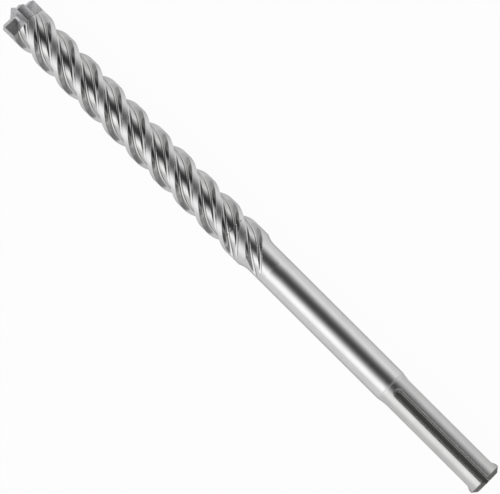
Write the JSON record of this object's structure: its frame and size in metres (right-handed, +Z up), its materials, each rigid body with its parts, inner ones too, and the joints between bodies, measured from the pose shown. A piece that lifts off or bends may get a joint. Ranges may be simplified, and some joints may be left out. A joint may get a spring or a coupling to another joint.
{
  "type": "rotary hammer drill bit",
  "caption": "Long steel drill bit with helical flutes, a plain neck, a slotted shank and a winged carbide head, for hammer drilling in concrete and stone.",
  "frame": {"origin": "centre of the shank's rear face", "axes": "+X along the bit's axis from the shank to the tip, +Z up through the single drive slot, +Y to the side through one locking recess"},
  "size_m": [0.32, 0.0204, 0.0204],
  "materials": {
    "steel": "satin polished steel with fine marks along the flutes",
    "carbide": "matte grey sintered carbide with ground edges"
  },
  "bodies": {
    "root": {"steel_body": "steel", "carbide_head": "carbide"}
  },
  "joints": []
}
